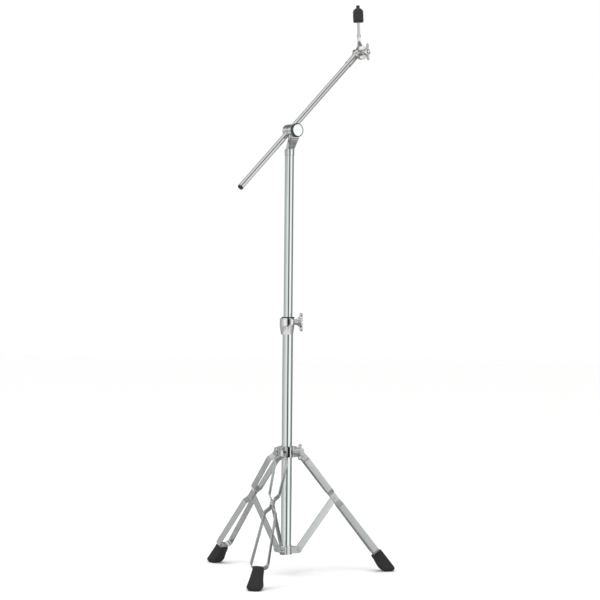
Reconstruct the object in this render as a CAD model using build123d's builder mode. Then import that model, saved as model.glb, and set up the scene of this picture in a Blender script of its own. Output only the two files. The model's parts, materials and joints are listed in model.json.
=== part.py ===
from build123d import *
import os
from math import asin, atan2, cos, degrees, hypot, radians, sin

os.makedirs("parts", exist_ok=True)

# Cymbal boom stand. Millimetres and degrees. The column stands on +Z with its axis through the origin,
# and the floor is z = 0. Azimuths turn anticlockwise from +X, seen from above.

# ---------------------------------------------------------------- driving dimensions
# fits
fixed_fit = 0.05  # radial, between pieces that are pressed, riveted or screwed together
running_fit = 0.1  # radial, between a shaft and the hole that it turns or slides in
side_gap = 0.25  # between flat faces that pass each other

# tubes
base_tube_diameter = 22.2
base_tube_wall = 1.2
base_tube_length = 488
base_tube_bottom = 46
telescope_gap = 0.375  # radial, between the two tubes
upper_tube_wall = 1.2
upper_tube_length = 522
upper_tube_showing = 348.1

# screws, pins and wings
pin_radius = 2
pin_head_radius = 3.2
pin_head_height = 1.5
screw_radius = 3
wing_hub_radius = 5.6
wing_height = 22
wing_thickness = 3.8

# tripod
leg_azimuths = {"right": 14.5, "left": 134.5, "front": 254.5}
leg_angle = 38.2  # from vertical, with the tripod open
leg_length = 275  # from the top pivot to the bottom of the hairpin
leg_strip_width = 14
leg_strip_thickness = 2
leg_knee_distance = 120  # from the top pivot to the strut's pin
leg_pivot_reach = 21.7  # from the base tube's surface
leg_spread_top = 13.3
leg_spread_middle = 10.6
leg_spread_low = 11.8
leg_spread_foot = 18.6
strut_width = 15
strut_thickness = 3
strut_pivot_reach = 15.9  # from the base tube's surface
strut_pivot_height = 52
folded_strut_angle = 4  # from vertical, with the tripod closed
foot_height = 41  # from the floor to the hairpin's lowest point
foot_top_width = 21.6
foot_bottom_width = 32
foot_inner_depth = 13
foot_outer_depth = 12

# collars and the height clamp
collar_wall = 4.1
tripod_collar_height = 24
bottom_collar_wall = 2.2
bottom_collar_height = 19
lug_thickness = 4
pinch_slot_width = 6
pinch_ear_thickness = 5.2
pinch_azimuth = -80
clamp_grip_length = 18
clamp_bush_length = 17.4
clamp_bush_wall = 3
clamp_flange_height = 2.5
clamp_wall = 3.1
clamp_body_shift = 1.8  # away from the wing screw
clamp_slot_width = 4
clamp_ear_thickness = 8.3
clamp_azimuth = -88

# boom bracket, holder and knob; "across" is measured along the tilt axis, towards the knob
boom_azimuth = 37
boom_elevation = 44.7
boom_rod_diameter = 12.7
boom_rod_wall = 1.5
boom_rod_below = 179  # from the tilt axis to the rod's lower end
boom_plug_length = 3.4
eye_wall = 2.75
eye_thickness = 8
holder_wall = 5.3
holder_end_wall = 1.8
ratchet_gap = 0.2
tooth_count = 30
tooth_depth = 1
cheek_thickness = 12.4
bracket_foot_radius_margin = 0.9
bracket_foot_height = 13
neck_rise = 38  # from the upper tube's end to the holder's underside
knob_radius = 15
knob_thickness = 7.8
eye_bolt_radius = 4

# tilter, cymbal rod and nut
tilter_distance = 262  # from the boom's tilt axis to the tilter's axis
sleeve_length = 24
sleeve_wall = 1.05
tilter_boss_radius = 9.8
tilter_disc_radius = 15
tilter_disc_thickness = 7.5
arm_across = 5.7
arm_radius = 3.65
arm_length = 36
rod_lean = 3  # the cymbal rod leans back towards the column
cymbal_rod_radius = 3
seat_radius = 4.2
seat_height = 5.5
cymbal_rod_showing = 26.5
nut_radius = 11.5
nut_height = 34.5
nut_neck_radius = 4
nut_pad_height = 2.5

# ---------------------------------------------------------------- derived places and directions
up = Vector(0, 0, 1)
base_tube_radius = base_tube_diameter / 2
base_tube_top = base_tube_bottom + base_tube_length
upper_tube_radius = base_tube_radius - base_tube_wall - telescope_gap
clamp_top = base_tube_top + clamp_bush_length
upper_tube_top = clamp_top + clamp_flange_height + upper_tube_showing
upper_tube_bottom = upper_tube_top - upper_tube_length


def outward(azimuth):
    """Level direction away from the column."""
    return Vector(cos(radians(azimuth)), sin(radians(azimuth)), 0)


def around(azimuth):
    """Level direction at right angles to outward, anticlockwise from above."""
    return Vector(-sin(radians(azimuth)), cos(radians(azimuth)), 0)


def radial_plane(azimuth):
    """Upright plane through the column axis: local x runs outward, local y runs up."""
    return Plane(origin=(0, 0, 0), x_dir=outward(azimuth), z_dir=outward(azimuth).cross(up))


def facing_plane(azimuth, distance, height):
    """Upright plane that faces outward: local x runs around the column, local y runs up."""
    centre = outward(azimuth) * distance + up * height
    return Plane(origin=centre, x_dir=around(azimuth), z_dir=outward(azimuth))


# tripod linkage, in the upright plane of one leg
leg_pivot_radius = base_tube_radius + leg_pivot_reach
leg_pivot_height = foot_height + leg_length * cos(radians(leg_angle))
strut_pivot_radius = base_tube_radius + strut_pivot_reach
knee_radius = leg_pivot_radius + leg_knee_distance * sin(radians(leg_angle))
knee_height = leg_pivot_height - leg_knee_distance * cos(radians(leg_angle))
strut_length = hypot(knee_radius - strut_pivot_radius, knee_height - strut_pivot_height)
open_strut_angle = degrees(atan2(knee_radius - strut_pivot_radius, knee_height - strut_pivot_height))


def leg_top_rise(strut_angle):
    """How far the leg's top pivot has risen when the strut stands at this angle from vertical."""
    strut_turn = radians(strut_angle)
    knee_out = strut_pivot_radius + strut_length * sin(strut_turn)
    leg_turn = asin((knee_out - leg_pivot_radius) / leg_knee_distance)
    top = strut_pivot_height + strut_length * cos(strut_turn) + leg_knee_distance * cos(leg_turn)
    return top - leg_pivot_height


def lug_slot_travel():
    """Most that a leg's top pin rises above its place in the collar's lug during the fold.

    The collar climbs in proportion to the strut's turn, and the pin follows the two circles."""
    steps = 40
    turn = open_strut_angle - folded_strut_angle
    shares = [step / steps for step in range(steps + 1)]
    full_rise = leg_top_rise(folded_strut_angle)
    return max(leg_top_rise(open_strut_angle - turn * share) - full_rise * share for share in shares)


def leg_top(azimuth):
    return outward(azimuth) * leg_pivot_radius + up * leg_pivot_height


def knee(azimuth):
    return outward(azimuth) * knee_radius + up * knee_height


def strut_foot(azimuth):
    return outward(azimuth) * strut_pivot_radius + up * strut_pivot_height


def leg_direction(azimuth):
    """Unit vector down the leg."""
    return outward(azimuth) * sin(radians(leg_angle)) - up * cos(radians(leg_angle))


def leg_normal(azimuth):
    """Unit vector square to the leg, out and up."""
    return outward(azimuth) * cos(radians(leg_angle)) + up * sin(radians(leg_angle))


def leg_band_plane(azimuth):
    """Local x runs down the leg from its top pivot, local y around the column."""
    return Plane(origin=leg_top(azimuth), x_dir=leg_direction(azimuth), z_dir=leg_normal(azimuth))


def leg_side_plane(azimuth):
    """Local x runs down the leg from its top pivot, local y out and up from it."""
    return Plane(origin=leg_top(azimuth), x_dir=leg_direction(azimuth), z_dir=-around(azimuth))


# boom: "along" runs up the rod, "across" along the tilt axis
rod_radius = boom_rod_diameter / 2
rod_hole_radius = rod_radius + running_fit
eye_radius = rod_hole_radius + eye_wall
holder_radius = eye_radius + holder_wall
holder_far = -(eye_radius + holder_end_wall)
holder_near = eye_radius + side_gap
cheek_far = holder_near + ratchet_gap
cheek_near = cheek_far + cheek_thickness
washer_thickness = 0.6
knob_far = cheek_near + washer_thickness + 2 * fixed_fit
tilt_axis_height = upper_tube_top + neck_rise + holder_radius
boom_out = outward(boom_azimuth)
boom_across = outward(boom_azimuth).cross(up)
boom_along = boom_out * cos(radians(boom_elevation)) + up * sin(radians(boom_elevation))
tilt_centre = up * tilt_axis_height
cymbal_up = up * cos(radians(rod_lean)) - boom_out * sin(radians(rod_lean))
tilter_centre = tilt_centre + boom_along * tilter_distance


def across_plane(centre, across, along):
    """Plane square to the tilt axis: local x runs along the given direction."""
    return Plane(origin=centre + boom_across * across, x_dir=along, z_dir=boom_across)


def rod_plane(distance):
    """Plane square to the boom rod, this far up it from the tilt axis: local x is the tilt axis."""
    return Plane(origin=tilt_centre + boom_along * distance, x_dir=boom_across, z_dir=boom_along)


def cymbal_plane(distance):
    """Plane square to the cymbal rod, this far up it from the tilter's axis."""
    centre = tilter_centre + boom_across * arm_across + cymbal_up * distance
    return Plane(origin=centre, x_dir=boom_across, z_dir=cymbal_up)


def save(piece, name):
    piece.part.label = name
    export_step(piece.part, f"parts/{name}.step")


# ---------------------------------------------------------------- shared shapes
def make_pin(centre, direction, half_grip):
    """Rivet through a joint: a plain shank with a rounded head at each end."""
    with BuildPart() as pin:
        with BuildSketch(Plane(origin=centre, z_dir=direction)):
            Circle(pin_radius)
        extrude(amount=half_grip, both=True)
        for side in (1, -1):
            head_seat = centre + direction * (half_grip * side)
            with BuildSketch(Plane(origin=head_seat, z_dir=direction * side)):
                Circle(pin_head_radius)
            extrude(amount=pin_head_height)
        ends = pin.edges().group_by(Axis(centre, direction))
        fillet(ends[0] + ends[-1], pin_head_height * 0.8)
    return pin


def make_wing(seat, span, shank_length=0, bore_radius=0):
    """Cast wing screw or wing nut on its seat plane: wings along local x, screw along local z."""
    wing_plane = Plane(origin=seat.origin, x_dir=seat.x_dir, z_dir=-seat.y_dir)
    half_span = span / 2
    wing_root = 8
    half_outline = [
        (wing_hub_radius - 1, wing_root),
        (half_span * 0.55, wing_height - 9),
        (half_span - 1.5, wing_height - 7.5),
        (half_span, wing_height - 4.5),
        (half_span - 2.5, wing_height - 1.8),
        (half_span * 0.5, wing_height - 3.4),
        (wing_hub_radius - 1, wing_height),
    ]
    outline = half_outline + [(-x, y) for x, y in reversed(half_outline)]
    with BuildPart() as wing:
        with BuildSketch(seat):
            Circle(wing_hub_radius)
        extrude(amount=wing_height - 6, taper=4)
        with BuildSketch(wing_plane):
            with BuildLine():
                FilletPolyline(*outline, radius=1.2, close=True)
            make_face()
        extrude(amount=wing_thickness / 2, both=True)
        if shank_length:
            with BuildSketch(seat):
                Circle(screw_radius)
            extrude(amount=-shank_length)
        if bore_radius:
            with BuildSketch(seat):
                Circle(bore_radius)
            extrude(amount=wing_height + 1, mode=Mode.SUBTRACT)
    return wing


def cut_hole(plane, radius, length, both=False):
    """Round hole from a plane along its normal, or the same length both ways; runs inside a BuildPart block."""
    with Locations(plane):
        if both:
            Cylinder(radius, 2 * length, mode=Mode.SUBTRACT)
        else:
            Cylinder(radius, length, align=(Align.CENTER, Align.CENTER, Align.MIN), mode=Mode.SUBTRACT)


def cut_teeth(face_plane, inner_radius, outer_radius):
    """Radial V grooves in a ratchet face; runs inside a BuildPart block."""
    groove_side = tooth_depth * 2**0.5
    groove_length = outer_radius - inner_radius + 1
    with Locations(face_plane):
        with PolarLocations(inner_radius, tooth_count):
            Box(
                groove_length,
                groove_side,
                groove_side,
                rotation=(45, 0, 0),
                align=(Align.MIN, Align.CENTER, Align.CENTER),
                mode=Mode.SUBTRACT,
            )


# ---------------------------------------------------------------- tubes
with BuildPart() as base_tube:
    with BuildSketch(Plane.XY.offset(base_tube_bottom)):
        Circle(base_tube_radius)
        Circle(base_tube_radius - base_tube_wall, mode=Mode.SUBTRACT)
    extrude(amount=base_tube_length)
save(base_tube, "base_tube")

with BuildPart() as upper_tube:
    with BuildSketch(Plane.XY.offset(upper_tube_bottom)):
        Circle(upper_tube_radius)
        Circle(upper_tube_radius - upper_tube_wall, mode=Mode.SUBTRACT)
    extrude(amount=upper_tube_length)
save(upper_tube, "upper_tube")

guide_flange_height = 6
guide_spigot_length = 14
with BuildPart() as upper_tube_guide:
    with BuildSketch(Plane.XY.offset(upper_tube_bottom - guide_flange_height - side_gap)):
        Circle(base_tube_radius - base_tube_wall - running_fit)
    extrude(amount=guide_flange_height)
    with BuildSketch(Plane.XY.offset(upper_tube_bottom - side_gap)):
        Circle(upper_tube_radius - upper_tube_wall - running_fit)
    extrude(amount=guide_spigot_length)
    chamfer(upper_tube_guide.edges().group_by(Axis.Z)[0], 0.8)
save(upper_tube_guide, "upper_tube_guide")

# ---------------------------------------------------------------- height clamp on the base tube
clamp_bottom = base_tube_top - clamp_grip_length
clamp_bush_radius = upper_tube_radius + clamp_bush_wall
clamp_radius = clamp_bush_radius + clamp_wall
clamp_low_radius = base_tube_radius + 1.8
clamp_bolt_height = base_tube_top + 9.2
clamp_ear_reach = clamp_radius + 11.5
clamp_bolt_distance = clamp_radius + 5.5
clamp_ear_height = 14.4

with BuildPart() as clamp_ears:
    with BuildSketch(facing_plane(clamp_azimuth, 0, clamp_bolt_height)):
        RectangleRounded(2 * clamp_ear_thickness + clamp_slot_width, clamp_ear_height, 5)
    extrude(amount=clamp_ear_reach + 1)
    with BuildSketch(Plane.XY.offset(clamp_bolt_height - clamp_ear_height)):
        Circle(clamp_ear_reach)
    extrude(amount=2 * clamp_ear_height, mode=Mode.INTERSECT)

with BuildPart() as height_clamp:
    body_middle = around(clamp_azimuth) * -clamp_body_shift
    with BuildSketch(Plane(origin=body_middle, x_dir=Axis.X.direction, z_dir=-Axis.Y.direction)):
        with BuildLine():
            Polyline(
                (0, clamp_bottom),
                (clamp_low_radius, clamp_bottom),
                (clamp_radius, base_tube_top),
                (clamp_radius, clamp_top - 1),
                (clamp_radius - 1, clamp_top),
                (0, clamp_top),
                close=True,
            )
        make_face()
    revolve(axis=Axis(body_middle, up))
    add(clamp_ears.part)
    cut_hole(Plane.XY.offset(clamp_bottom), base_tube_radius + fixed_fit, clamp_grip_length + fixed_fit)
    cut_hole(Plane.XY.offset(base_tube_top), clamp_bush_radius + fixed_fit, clamp_bush_length)
    with BuildSketch(facing_plane(clamp_azimuth, 0, (base_tube_top + clamp_top) / 2 + 1)):
        Rectangle(clamp_slot_width, clamp_bush_length)
    extrude(amount=clamp_ear_reach + 1, mode=Mode.SUBTRACT)
    bolt_line = outward(clamp_azimuth) * clamp_bolt_distance + up * clamp_bolt_height
    cut_hole(Plane(origin=bolt_line, z_dir=around(clamp_azimuth)), screw_radius + running_fit, 40, both=True)
save(height_clamp, "height_clamp")

with BuildPart() as height_clamp_bush:
    with BuildSketch(Plane.XY.offset(base_tube_top + side_gap)):
        Circle(clamp_bush_radius)
    extrude(amount=clamp_bush_length - side_gap)
    with BuildSketch(Plane.XY.offset(clamp_top)):
        Circle(clamp_bush_radius + 1.4)
    extrude(amount=clamp_flange_height)
    fillet(height_clamp_bush.edges().group_by(Axis.Z)[-1], 0.6)
    cut_hole(Plane.XY.offset(base_tube_top), upper_tube_radius + running_fit, clamp_bush_length + 5)
    with BuildSketch(facing_plane(clamp_azimuth, 0, base_tube_top + clamp_bush_length / 2)):
        Rectangle(1.6, clamp_bush_length)
    extrude(amount=clamp_radius, mode=Mode.SUBTRACT)
save(height_clamp_bush, "height_clamp_bush")

clamp_ear_side = clamp_slot_width / 2 + clamp_ear_thickness + side_gap
height_wing_screw = make_wing(
    Plane(
        origin=bolt_line + around(clamp_azimuth) * clamp_ear_side,
        x_dir=up * cos(radians(6)) - outward(clamp_azimuth) * sin(radians(6)),
        z_dir=around(clamp_azimuth),
    ),
    span=40,
    shank_length=2 * clamp_ear_side - 2,
)
save(height_wing_screw, "height_wing_screw")

# ---------------------------------------------------------------- bottom collar, fixed to the base tube
bottom_collar_bottom = base_tube_bottom - 3
ear_thickness = 2.6
ear_half_width = strut_thickness / 2 + side_gap + ear_thickness
ear_radius = strut_width / 2

with BuildPart() as bottom_collar:
    with BuildSketch(Plane.XY.offset(bottom_collar_bottom)):
        Circle(base_tube_radius + bottom_collar_wall)
    extrude(amount=bottom_collar_height)
    chamfer(bottom_collar.edges().group_by(Axis.Z)[-1], 0.6)
    for azimuth in leg_azimuths.values():
        with BuildSketch(radial_plane(azimuth)):
            with Locations((strut_pivot_radius / 2, strut_pivot_height)):
                Rectangle(strut_pivot_radius, 2 * ear_radius)
            with Locations((strut_pivot_radius, strut_pivot_height)):
                Circle(ear_radius)
        extrude(amount=ear_half_width, both=True)
    for azimuth in leg_azimuths.values():
        slot_start = strut_pivot_radius - ear_radius - 1
        with BuildSketch(radial_plane(azimuth)):
            with Locations((slot_start, strut_pivot_height)):
                Rectangle(40, 40, align=(Align.MIN, Align.CENTER))
        extrude(amount=strut_thickness / 2 + side_gap, both=True, mode=Mode.SUBTRACT)
        pin_plane = Plane(origin=strut_foot(azimuth), z_dir=around(azimuth))
        cut_hole(pin_plane, pin_radius + fixed_fit, 20, both=True)
    cut_hole(Plane.XY.offset(bottom_collar_bottom), base_tube_radius + fixed_fit, 60)
    rivet_azimuth = leg_azimuths["right"] + 60
    rivet_height = bottom_collar_bottom + bottom_collar_height / 2
    rivet_plane = Plane(origin=up * rivet_height, z_dir=outward(rivet_azimuth))
    cut_hole(rivet_plane, pin_radius + fixed_fit, 40)
save(bottom_collar, "bottom_collar")

for name, azimuth in leg_azimuths.items():
    save(make_pin(strut_foot(azimuth), around(azimuth), ear_half_width), f"strut_foot_pin_{name}")

# ---------------------------------------------------------------- sliding tripod collar
collar_radius = base_tube_radius + collar_wall
lug_bottom = leg_pivot_height - 5.5
collar_top = lug_bottom + tripod_collar_height
lug_reach = leg_pivot_radius + 5.2
pinch_reach = collar_radius + 9.5
pinch_bolt_distance = collar_radius + 5
pinch_bolt_height = leg_pivot_height + 7
pin_slot_width = 2 * (pin_radius + 0.5)
pin_slot_travel = lug_slot_travel()
ear_outline = 2 * pinch_ear_thickness + pinch_slot_width

with BuildPart() as tripod_collar:
    with BuildSketch(Plane.XY.offset(lug_bottom)):
        Circle(collar_radius)
    extrude(amount=tripod_collar_height)
    chamfer(tripod_collar.edges().group_by(Axis.Z)[-1], 1)
    for azimuth in leg_azimuths.values():
        with BuildSketch(radial_plane(azimuth)):
            with BuildLine():
                FilletPolyline(
                    (0, lug_bottom),
                    (lug_reach, lug_bottom),
                    (lug_reach, collar_top - 6),
                    (collar_radius + 2, collar_top),
                    (0, collar_top),
                    radius=[5, 4, 2],
                )
                Line((0, collar_top), (0, lug_bottom))
            make_face()
        extrude(amount=lug_thickness / 2, both=True)
    with BuildSketch(Plane(origin=up * (lug_bottom + 1), x_dir=outward(pinch_azimuth))):
        with Locations((pinch_reach / 2, 0)):
            RectangleRounded(pinch_reach, ear_outline, 7)
    extrude(amount=tripod_collar_height - 2)
    for azimuth in leg_azimuths.values():
        with BuildSketch(radial_plane(azimuth)):
            with Locations((leg_pivot_radius, leg_pivot_height + pin_slot_travel / 2)):
                SlotOverall(pin_slot_travel + pin_slot_width, pin_slot_width, rotation=90)
        extrude(amount=lug_thickness, both=True, mode=Mode.SUBTRACT)
    cut_hole(Plane.XY.offset(lug_bottom), base_tube_radius + running_fit, 40)
    with BuildSketch(facing_plane(pinch_azimuth, 0, lug_bottom + tripod_collar_height / 2)):
        Rectangle(pinch_slot_width, tripod_collar_height + 2)
    extrude(amount=pinch_reach + 1, mode=Mode.SUBTRACT)
    pinch_line = outward(pinch_azimuth) * pinch_bolt_distance + up * pinch_bolt_height
    cut_hole(Plane(origin=pinch_line, z_dir=around(pinch_azimuth)), screw_radius + running_fit, 40, both=True)
save(tripod_collar, "tripod_collar")

pinch_side = ear_outline / 2 + side_gap
tripod_wing_screw = make_wing(
    Plane(
        origin=pinch_line + around(pinch_azimuth) * pinch_side,
        x_dir=up * cos(radians(6)) + outward(pinch_azimuth) * sin(radians(6)),
        z_dir=around(pinch_azimuth),
    ),
    span=36,
    shank_length=2 * pinch_side - 1.5,
)
save(tripod_wing_screw, "tripod_wing_screw")

# ---------------------------------------------------------------- legs, struts and feet
strip_half = leg_strip_thickness / 2
spread_at_lug = lug_thickness / 2 + side_gap + strip_half
spread_at_knee = strut_thickness / 2 + side_gap + strip_half
strip_end = leg_strip_width / 2
knee_flat = 10.5
knee_slope = 10
leg_top_flat = 4.2
leg_flare = 9.8
hairpin_bottom = leg_length - strip_half
screw_head_radius = 4
screw_head_height = 2.2
foot_screw_radius = 2.2
foot_screw_length = 16
foot_heel = 4  # how much deeper the foot is at the floor, on its inner side


def make_leg(azimuth):
    """One flat bar bent into a hairpin: close at the lug, wide, pinched at the strut, wide again."""
    side = [
        (-strip_end, spread_at_lug),
        (leg_top_flat, spread_at_lug),
        (leg_top_flat + leg_flare, leg_spread_top),
        (leg_knee_distance - knee_flat - knee_slope, leg_spread_middle),
        (leg_knee_distance - knee_flat, spread_at_knee),
        (leg_knee_distance + knee_flat, spread_at_knee),
        (leg_knee_distance + knee_flat + knee_slope, leg_spread_low),
        (hairpin_bottom, leg_spread_foot),
    ]
    side_bends = [2, 4, 4, 3, 3, 4, 9]
    route = side + [(x, -y) for x, y in reversed(side)]
    with BuildPart() as leg:
        with BuildSketch(leg_band_plane(azimuth)):
            with BuildLine():
                FilletPolyline(*route, radius=side_bends + side_bends[::-1])
            trace(line_width=leg_strip_thickness)
        extrude(amount=leg_strip_width / 2, both=True)
        end_edges = leg.edges().filter_by(Axis((0, 0, 0), around(azimuth)))
        end_edges = end_edges.group_by(Axis(leg_top(azimuth), leg_direction(azimuth)))[0]
        fillet(end_edges, strip_end - 0.2)
        for place in (leg_top(azimuth), knee(azimuth)):
            cut_hole(Plane(origin=place, z_dir=around(azimuth)), pin_radius + fixed_fit, 30, both=True)
        screw_seat = leg_top(azimuth) + leg_direction(azimuth) * leg_length
        screw_plane = Plane(origin=screw_seat, z_dir=leg_direction(azimuth))
        cut_hole(screw_plane, foot_screw_radius + fixed_fit, 5, both=True)
    return leg


def make_strut(azimuth):
    """Flat bar with round ends, a pin hole in each."""
    along = (knee(azimuth) - strut_foot(azimuth)).normalized()
    bar_plane = Plane(origin=strut_foot(azimuth), x_dir=along, z_dir=-around(azimuth))
    with BuildPart() as strut:
        with BuildSketch(bar_plane):
            with Locations((strut_length / 2, 0)):
                SlotCenterToCenter(strut_length, strut_width)
            with Locations((0, 0), (strut_length, 0)):
                Circle(pin_radius + running_fit, mode=Mode.SUBTRACT)
        extrude(amount=strut_thickness / 2, both=True)
        chamfer(strut.faces().filter_by(Axis((0, 0, 0), around(azimuth))).edges().filter_by(GeomType.LINE), 0.4)
    return strut


def make_foot(azimuth):
    """Rubber block under the hairpin, flared towards the floor and cut off level with it."""
    beyond = leg_length + 2 * foot_height
    with BuildPart() as foot:
        with BuildSketch(leg_side_plane(azimuth)):
            with BuildLine():
                Polyline(
                    (leg_length, -foot_inner_depth),
                    (leg_length, foot_outer_depth),
                    (beyond, foot_outer_depth),
                    (beyond, -foot_inner_depth - foot_heel),
                    (leg_length + 0.8 * foot_height, -foot_inner_depth - foot_heel),
                    (leg_length + 0.4 * foot_height, -foot_inner_depth - 0.2 * foot_heel),
                    close=True,
                )
            make_face()
        extrude(amount=foot_bottom_width, both=True)
        with BuildSketch(leg_band_plane(azimuth)):
            with BuildLine():
                Polyline(
                    (leg_length, -foot_top_width / 2),
                    (leg_length, foot_top_width / 2),
                    (leg_length + foot_height, foot_bottom_width / 2),
                    (beyond, foot_bottom_width / 2),
                    (beyond, -foot_bottom_width / 2),
                    (leg_length + foot_height, -foot_bottom_width / 2),
                    close=True,
                )
            make_face()
        extrude(amount=2 * foot_height, both=True, mode=Mode.INTERSECT)
        split(bisect_by=Plane.XY, keep=Keep.TOP)
        floor_edges = foot.edges().group_by(Axis.Z)[0].filter_by(Axis((0, 0, 0), around(azimuth)))
        fillet(floor_edges, 6)
        screw_seat = leg_top(azimuth) + leg_direction(azimuth) * leg_length
        screw_plane = Plane(origin=screw_seat, z_dir=leg_direction(azimuth))
        cut_hole(screw_plane, foot_screw_radius + fixed_fit, foot_screw_length)
    return foot


def make_foot_screw(azimuth):
    """Pan head screw from inside the hairpin into the foot."""
    head_seat = leg_top(azimuth) + leg_direction(azimuth) * (leg_length - leg_strip_thickness)
    with BuildPart() as foot_screw:
        with BuildSketch(Plane(origin=head_seat, z_dir=leg_direction(azimuth))):
            Circle(foot_screw_radius)
        extrude(amount=foot_screw_length)
        with BuildSketch(Plane(origin=head_seat, z_dir=-leg_direction(azimuth))):
            Circle(screw_head_radius)
        extrude(amount=screw_head_height)
        top_edge = foot_screw.edges().group_by(Axis(head_seat, leg_direction(azimuth)))[0]
        fillet(top_edge, screw_head_height * 0.6)
    return foot_screw


for name, azimuth in leg_azimuths.items():
    save(make_leg(azimuth), f"leg_{name}")
    save(make_strut(azimuth), f"strut_{name}")
    save(make_foot(azimuth), f"foot_{name}")
    save(make_foot_screw(azimuth), f"foot_screw_{name}")
    save(make_pin(leg_top(azimuth), around(azimuth), spread_at_lug + strip_half), f"leg_top_pin_{name}")
    save(make_pin(knee(azimuth), around(azimuth), spread_at_knee + strip_half), f"knee_pin_{name}")

# ---------------------------------------------------------------- boom bracket on the upper tube
spigot_radius = upper_tube_radius - upper_tube_wall - fixed_fit
spigot_length = 30
neck_bottom = upper_tube_top + bracket_foot_height
neck_shoulder = tilt_axis_height - holder_radius - 0.8
neck_top = tilt_axis_height - holder_radius / 2
neck_depth = 10.5
bracket_foot_radius = upper_tube_radius + bracket_foot_radius_margin
shank_hole_radius = eye_bolt_radius + running_fit


def neck_plane(height):
    """Level plane: local x runs out under the boom, local y away from the knob."""
    return Plane(origin=up * height, x_dir=boom_out)


with BuildPart() as boom_bracket:
    with BuildSketch(Plane.XY.offset(upper_tube_top - spigot_length)):
        Circle(spigot_radius)
    extrude(amount=spigot_length)
    with BuildSketch(Plane.XY.offset(upper_tube_top)):
        Circle(bracket_foot_radius)
    extrude(amount=bracket_foot_height)
    with BuildSketch(neck_plane(neck_bottom - 1)):
        with Locations((0, -1)):
            RectangleRounded(15.5, 14, 3)
    with BuildSketch(neck_plane(neck_shoulder)):
        with Locations((0, -(cheek_far + side_gap + neck_depth / 2))):
            RectangleRounded(24, neck_depth, 3)
    with BuildSketch(neck_plane(neck_top)):
        with Locations((0, -(cheek_far + side_gap + neck_depth / 2))):
            RectangleRounded(19, neck_depth, 3)
    loft(ruled=True)
    with BuildSketch(across_plane(tilt_centre, cheek_far, boom_out)):
        Circle(holder_radius - 0.4)
    extrude(amount=cheek_thickness)
    cut_teeth(across_plane(tilt_centre, cheek_far, boom_out), eye_radius + 0.8, holder_radius)
    cut_hole(across_plane(tilt_centre, cheek_far - 1, boom_out), shank_hole_radius, 30)
    bracket_pin_height = upper_tube_top - spigot_length / 2
    bracket_pin_line = Plane(origin=up * bracket_pin_height, z_dir=boom_out)
    cut_hole(bracket_pin_line, pin_radius + fixed_fit, 40, both=True)
save(boom_bracket, "boom_bracket")

with BuildPart() as bracket_pin:
    with BuildSketch(Plane(origin=up * bracket_pin_height, z_dir=boom_out)):
        Circle(pin_radius)
    extrude(amount=upper_tube_radius - upper_tube_wall - 0.4, both=True)
save(bracket_pin, "bracket_pin")

# ---------------------------------------------------------------- boom holder, eye bolt and knob
slot_half_height = eye_radius + side_gap
tail_side = 4.8
tail_length = 1.6

with BuildPart() as boom_holder:
    with BuildSketch(across_plane(tilt_centre, holder_far, boom_along)):
        Circle(holder_radius)
    extrude(amount=holder_near - holder_far)
    far_edge = boom_holder.edges().group_by(Axis(tilt_centre, boom_across))[0]
    chamfer(far_edge, 4)
    with BuildSketch(across_plane(tilt_centre, -eye_radius - side_gap, boom_along)):
        Rectangle(eye_thickness + 2 * side_gap, 2 * slot_half_height)
    extrude(amount=holder_near - holder_far, mode=Mode.SUBTRACT)
    with BuildSketch(across_plane(tilt_centre, holder_far - 1, boom_along)):
        Rectangle(tail_side + 2 * fixed_fit, tail_side + 2 * fixed_fit)
    extrude(amount=holder_end_wall + 2, mode=Mode.SUBTRACT)
    cut_hole(rod_plane(0), rod_hole_radius, 2 * holder_radius, both=True)
    cut_teeth(across_plane(tilt_centre, holder_near, boom_along), eye_radius + 0.8, holder_radius)
save(boom_holder, "boom_holder")

eye_bolt_end = knob_far + knob_thickness - 2.4
with BuildPart() as eye_bolt:
    with BuildSketch(rod_plane(0)):
        Circle(eye_radius)
    extrude(amount=eye_thickness / 2, both=True)
    with BuildSketch(across_plane(tilt_centre, 0, boom_along)):
        Circle(eye_bolt_radius - running_fit)
    extrude(amount=eye_bolt_end)
    with BuildSketch(across_plane(tilt_centre, 0, boom_along)):
        Rectangle(tail_side, tail_side)
    extrude(amount=holder_far - tail_length)
    cut_hole(rod_plane(0), rod_hole_radius, 2 * eye_radius, both=True)
save(eye_bolt, "eye_bolt")

with BuildPart() as knob_washer:
    with BuildSketch(across_plane(tilt_centre, cheek_near + fixed_fit, boom_along)):
        Circle(knob_radius - 4)
        Circle(shank_hole_radius, mode=Mode.SUBTRACT)
    extrude(amount=washer_thickness)
save(knob_washer, "knob_washer")

with BuildPart() as boom_clamp_knob:
    with BuildSketch(across_plane(tilt_centre, knob_far, boom_along)):
        Circle(knob_radius)
        with PolarLocations(knob_radius + 0.5, 24):
            Circle(1.3, mode=Mode.SUBTRACT)
    extrude(amount=knob_thickness)
    cut_hole(across_plane(tilt_centre, knob_far - 1, boom_along), eye_bolt_radius, knob_thickness - 1)
save(boom_clamp_knob, "boom_clamp_knob")

# ---------------------------------------------------------------- boom rod and its plug
fitting_overlap = 16  # of the rod inside the end fitting's sleeve
sleeve_near_end = tilter_distance - tilter_disc_radius - sleeve_length
sleeve_socket = sleeve_near_end + fitting_overlap
with BuildPart() as boom_rod:
    with BuildSketch(rod_plane(-boom_rod_below)):
        Circle(rod_radius)
        Circle(rod_radius - boom_rod_wall, mode=Mode.SUBTRACT)
    extrude(amount=boom_rod_below + sleeve_socket - fixed_fit)
save(boom_rod, "boom_rod")

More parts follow.
